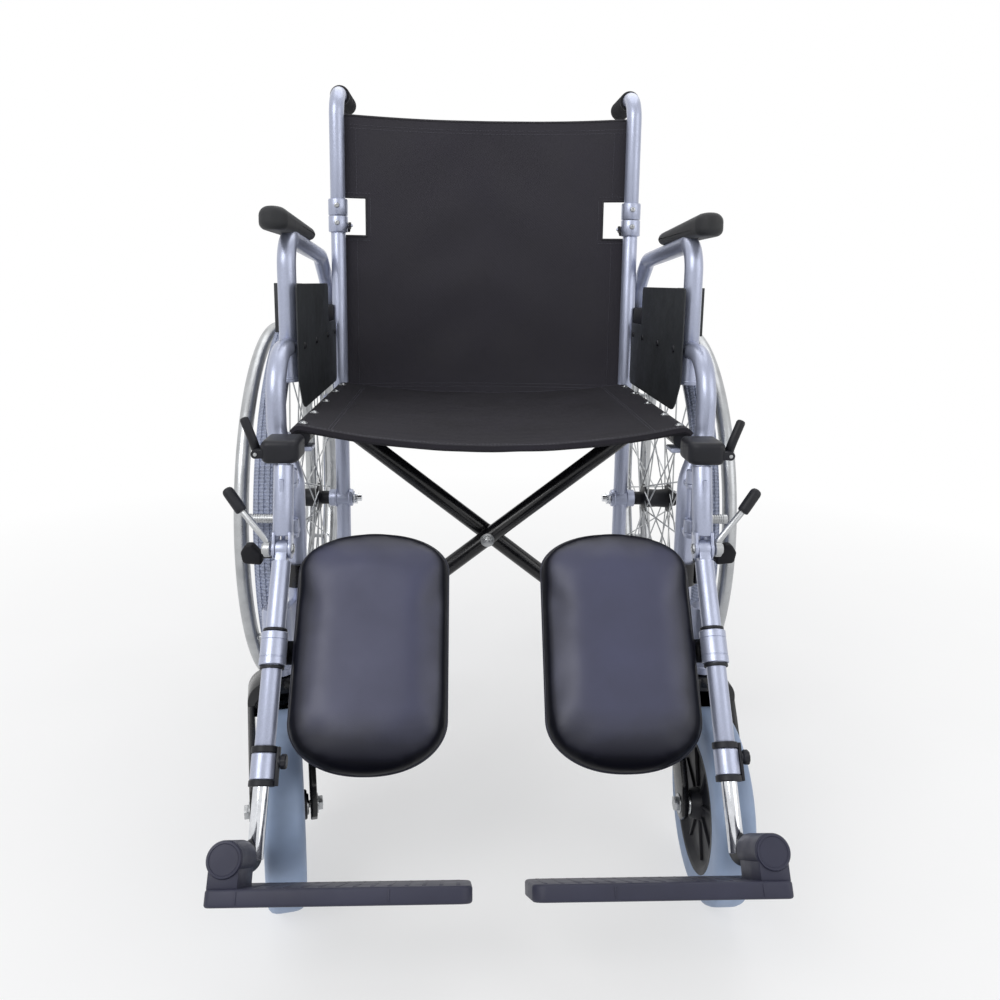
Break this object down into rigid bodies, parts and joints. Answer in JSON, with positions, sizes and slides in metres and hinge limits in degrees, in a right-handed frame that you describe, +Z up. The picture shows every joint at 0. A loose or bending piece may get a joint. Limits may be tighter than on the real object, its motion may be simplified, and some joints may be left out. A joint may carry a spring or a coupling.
{
  "type": "folding wheelchair",
  "caption": "Folding self-propelled wheelchair with flip-up arms, fold-down upper back and elevating legrests with calf pads and footplates.",
  "frame": {"origin": "on the floor under the middle of the chair's box", "axes": "+Z up; the chair faces -Y; +X is the occupant's left side"},
  "size_m": [0.6534, 1.0345, 0.938],
  "materials": {
    "silver_paint": "silver-grey powder coat, satin",
    "black_paint": "black powder coat, glossy",
    "chrome": "polished, with light streaks",
    "zinc_steel": "satin, clear",
    "black_plastic": "black, satin",
    "grey_plastic": "dark grey, satin",
    "panel_plastic": "near-black sheet, fine texture",
    "arm_foam": "black self-skinned foam",
    "vinyl": "dark grey coated upholstery, soft sheen",
    "nylon": "black woven nylon",
    "tyre_rubber": "blue-grey solid rubber, knurled tread",
    "caster_rubber": "blue-grey solid rubber, smooth"
  },
  "bodies": {
    "left_frame": {"left_side_frame": "silver_paint", "left_arm_hinge_bracket": "black_plastic", "left_rear_axle": "chrome", "left_brake_body": "black_paint", "left_side_panel": "panel_plastic", "seat_sling": "nylon", "back_sling": "nylon"},
    "right_frame": {"right_side_frame": "silver_paint", "right_arm_hinge_bracket": "black_plastic", "right_rear_axle": "chrome", "right_brake_body": "black_paint", "right_side_panel": "panel_plastic"},
    "cross_a": {"cross_tube_a": "black_paint", "cross_bolt": "zinc_steel"},
    "cross_b": {"cross_tube_b": "black_paint"},
    "left_rear_wheel": {"left_rear_wheel": "zinc_steel", "left_rear_tyre": "tyre_rubber", "left_handrim": "zinc_steel"},
    "left_caster_fork": {"left_caster_fork": "black_paint"},
    "left_caster_wheel": {"left_caster_wheel": "grey_plastic", "left_caster_tyre": "caster_rubber"},
    "left_upper_back": {"left_upper_back_post": "silver_paint", "left_push_grip": "black_plastic"},
    "left_back_lever": {"left_back_fold_lever": "black_plastic"},
    "left_arm": {"left_arm_frame": "silver_paint", "left_arm_pad": "arm_foam"},
    "left_hanger": {"left_legrest_hanger": "silver_paint", "left_latch_housing": "black_plastic"},
    "left_latch_lever": {"left_legrest_latch": "black_plastic"},
    "left_leg": {"left_leg_tube": "silver_paint", "left_height_clamp": "black_plastic"},
    "left_elevation_lever": {"left_elevation_lever": "zinc_steel"},
    "left_inner_leg": {"left_inner_tube": "chrome"},
    "left_footplate": {"left_footplate": "grey_plastic"},
    "left_calf_rest": {"left_calf_pad": "vinyl", "left_calf_bracket": "black_paint"},
    "left_brake": {"left_brake_lever": "black_plastic"},
    "right_rear_wheel": {"right_rear_wheel": "zinc_steel", "right_rear_tyre": "tyre_rubber", "right_handrim": "zinc_steel"},
    "right_caster_fork": {"right_caster_fork": "black_paint"},
    "right_caster_wheel": {"right_caster_wheel": "grey_plastic", "right_caster_tyre": "caster_rubber"},
    "right_upper_back": {"right_upper_back_post": "silver_paint", "right_push_grip": "black_plastic"},
    "right_back_lever": {"right_back_fold_lever": "black_plastic"},
    "right_arm": {"right_arm_frame": "silver_paint", "right_arm_pad": "arm_foam"},
    "right_hanger": {"right_legrest_hanger": "silver_paint", "right_latch_housing": "black_plastic"},
    "right_latch_lever": {"right_legrest_latch": "black_plastic"},
    "right_leg": {"right_leg_tube": "silver_paint", "right_height_clamp": "black_plastic"},
    "right_elevation_lever": {"right_elevation_lever": "zinc_steel"},
    "right_inner_leg": {"right_inner_tube": "chrome"},
    "right_footplate": {"right_footplate": "grey_plastic"},
    "right_calf_rest": {"right_calf_pad": "vinyl", "right_calf_bracket": "black_paint"},
    "right_brake": {"right_brake_lever": "black_plastic"}
  },
  "joints": [
    {"name": "fold", "type": "hinge", "parent": "left_frame", "child": "cross_a", "pos_m": [0.215, -0.01253, 0.145], "axis": [0, 1, 0], "range_deg": [0, 35], "deforming": ["seat_sling", "back_sling"]},
    {"name": "cross_scissor", "type": "hinge", "parent": "cross_a", "child": "cross_b", "pos_m": [0, -0.01253, 0.312], "axis": [0, 1, 0], "range_deg": [-70, 0]},
    {"name": "right_frame_fold", "type": "hinge", "parent": "cross_b", "child": "right_frame", "pos_m": [-0.215, -0.01253, 0.145], "axis": [0, 1, 0], "range_deg": [0, 35]},
    {"name": "left_rear_wheel_spin", "type": "hinge", "parent": "left_frame", "child": "left_rear_wheel", "pos_m": [0.281, 0.21247, 0.305], "axis": [1, 0, 0], "continuous": true},
    {"name": "left_caster_swivel", "type": "hinge", "parent": "left_frame", "child": "left_caster_fork", "pos_m": [0.236, -0.24254, 0.2235], "axis": [0, 0, 1], "continuous": true},
    {"name": "left_caster_roll", "type": "hinge", "parent": "left_caster_fork", "child": "left_caster_wheel", "pos_m": [0.236, -0.30754, 0.1], "axis": [1, 0, 0], "continuous": true},
    {"name": "left_back_fold", "type": "hinge", "parent": "left_frame", "child": "left_upper_back", "pos_m": [0.2225, 0.23738, 0.742], "axis": [-1, 0, 0], "range_deg": [0, 90]},
    {"name": "left_back_lever_tilt", "type": "hinge", "parent": "left_frame", "child": "left_back_lever", "pos_m": [0.2053, 0.21804, 0.728], "axis": [1, 0, 0], "range_deg": [0, 20], "stiffness_Nm_per_rad": 0.3},
    {"name": "left_arm_flip", "type": "hinge", "parent": "left_frame", "child": "left_arm", "pos_m": [0.24, 0.24647, 0.588], "axis": [-0.9992, 0, 0.04], "range_deg": [0, 95]},
    {"name": "left_legrest_swing", "type": "hinge", "parent": "left_frame", "child": "left_hanger", "pos_m": [0.222, -0.21953, 0.4035], "axis": [0, 0, 1], "range_deg": [0, 60]},
    {"name": "left_legrest_latch_turn", "type": "hinge", "parent": "left_hanger", "child": "left_latch_lever", "pos_m": [0.2492, -0.24554, 0.4735], "axis": [0, 1, 0], "range_deg": [0, 20], "stiffness_Nm_per_rad": 0.3},
    {"name": "left_legrest_raise", "type": "hinge", "parent": "left_hanger", "child": "left_leg", "pos_m": [0.222, -0.26954, 0.375], "axis": [-1, 0, 0], "range_deg": [0, 42]},
    {"name": "left_elevation_lever_turn", "type": "hinge", "parent": "left_hanger", "child": "left_elevation_lever", "pos_m": [0.222, -0.26954, 0.375], "axis": [-1, 0, 0], "range_deg": [0, 20], "stiffness_Nm_per_rad": 0.8},
    {"name": "left_footplate_height", "type": "slide", "parent": "left_leg", "child": "left_inner_leg", "axis": [0, -0.5736, -0.8192], "range_m": [0, 0.06]},
    {"name": "left_calf_pad_swing", "type": "hinge", "parent": "left_leg", "child": "left_calf_rest", "pos_m": [0.222, -0.32919, 0.28981], "axis": [0, 0.5736, 0.8192], "range_deg": [0, 90]},
    {"name": "left_footplate_flip", "type": "hinge", "parent": "left_inner_leg", "child": "left_footplate", "pos_m": [0.233, -0.43702, 0.13581], "axis": [0, 0.8192, -0.5736], "range_deg": [0, 78]},
    {"name": "left_brake_turn", "type": "hinge", "parent": "left_frame", "child": "left_brake", "pos_m": [0.2419, -0.12254, 0.322], "axis": [-1, 0, 0], "range_deg": [0, 12]},
    {"name": "right_rear_wheel_spin", "type": "hinge", "parent": "right_frame", "child": "right_rear_wheel", "pos_m": [-0.281, 0.21247, 0.305], "axis": [1, 0, 0], "continuous": true},
    {"name": "right_caster_swivel", "type": "hinge", "parent": "right_frame", "child": "right_caster_fork", "pos_m": [-0.236, -0.24254, 0.2235], "axis": [0, 0, 1], "continuous": true},
    {"name": "right_caster_roll", "type": "hinge", "parent": "right_caster_fork", "child": "right_caster_wheel", "pos_m": [-0.22249, -0.30612, 0.1], "axis": [-0.9781, -0.2079, 0], "continuous": true},
    {"name": "right_back_fold", "type": "hinge", "parent": "right_frame", "child": "right_upper_back", "pos_m": [-0.2225, 0.23738, 0.742], "axis": [-1, 0, 0], "range_deg": [0, 90]},
    {"name": "right_back_lever_tilt", "type": "hinge", "parent": "right_frame", "child": "right_back_lever", "pos_m": [-0.2053, 0.21804, 0.728], "axis": [1, 0, 0], "range_deg": [0, 20], "stiffness_Nm_per_rad": 0.3},
    {"name": "right_arm_flip", "type": "hinge", "parent": "right_frame", "child": "right_arm", "pos_m": [-0.24, 0.24647, 0.588], "axis": [-0.9992, 0, -0.04], "range_deg": [0, 95]},
    {"name": "right_legrest_swing", "type": "hinge", "parent": "right_frame", "child": "right_hanger", "pos_m": [-0.222, -0.21953, 0.4035], "axis": [0, 0, -1], "range_deg": [0, 60]},
    {"name": "right_legrest_latch_turn", "type": "hinge", "parent": "right_hanger", "child": "right_latch_lever", "pos_m": [-0.2492, -0.24554, 0.4735], "axis": [0, -1, 0], "range_deg": [0, 20], "stiffness_Nm_per_rad": 0.3},
    {"name": "right_legrest_raise", "type": "hinge", "parent": "right_hanger", "child": "right_leg", "pos_m": [-0.222, -0.26954, 0.375], "axis": [-1, 0, 0], "range_deg": [0, 42]},
    {"name": "right_elevation_lever_turn", "type": "hinge", "parent": "right_hanger", "child": "right_elevation_lever", "pos_m": [-0.222, -0.26954, 0.375], "axis": [-1, 0, 0], "range_deg": [0, 20], "stiffness_Nm_per_rad": 0.8},
    {"name": "right_footplate_height", "type": "slide", "parent": "right_leg", "child": "right_inner_leg", "axis": [0, -0.5736, -0.8192], "range_m": [0, 0.06]},
    {"name": "right_calf_pad_swing", "type": "hinge", "parent": "right_leg", "child": "right_calf_rest", "pos_m": [-0.222, -0.32919, 0.28981], "axis": [0, -0.5736, -0.8192], "range_deg": [0, 90]},
    {"name": "right_footplate_flip", "type": "hinge", "parent": "right_inner_leg", "child": "right_footplate", "pos_m": [-0.233, -0.43702, 0.13581], "axis": [0, -0.8192, 0.5736], "range_deg": [0, 55]},
    {"name": "right_brake_turn", "type": "hinge", "parent": "right_frame", "child": "right_brake", "pos_m": [-0.2419, -0.12254, 0.322], "axis": [-1, 0, 0], "range_deg": [0, 12]}
  ],
  "couplings": [
    {"joint": "cross_scissor", "follows": "fold", "ratio": -2},
    {"joint": "right_frame_fold", "follows": "fold", "ratio": 1},
    {"joint": "left_legrest_swing", "follows": "fold", "ratio": 1.7},
    {"joint": "right_legrest_swing", "follows": "fold", "ratio": 1.7},
    {"joint": "right_back_fold", "follows": "left_back_fold", "ratio": 1},
    {"joint": "left_footplate_flip", "follows": "left_calf_pad_swing", "ratio": 0.866},
    {"joint": "right_footplate_flip", "follows": "right_calf_pad_swing", "ratio": 0.611}
  ]
}
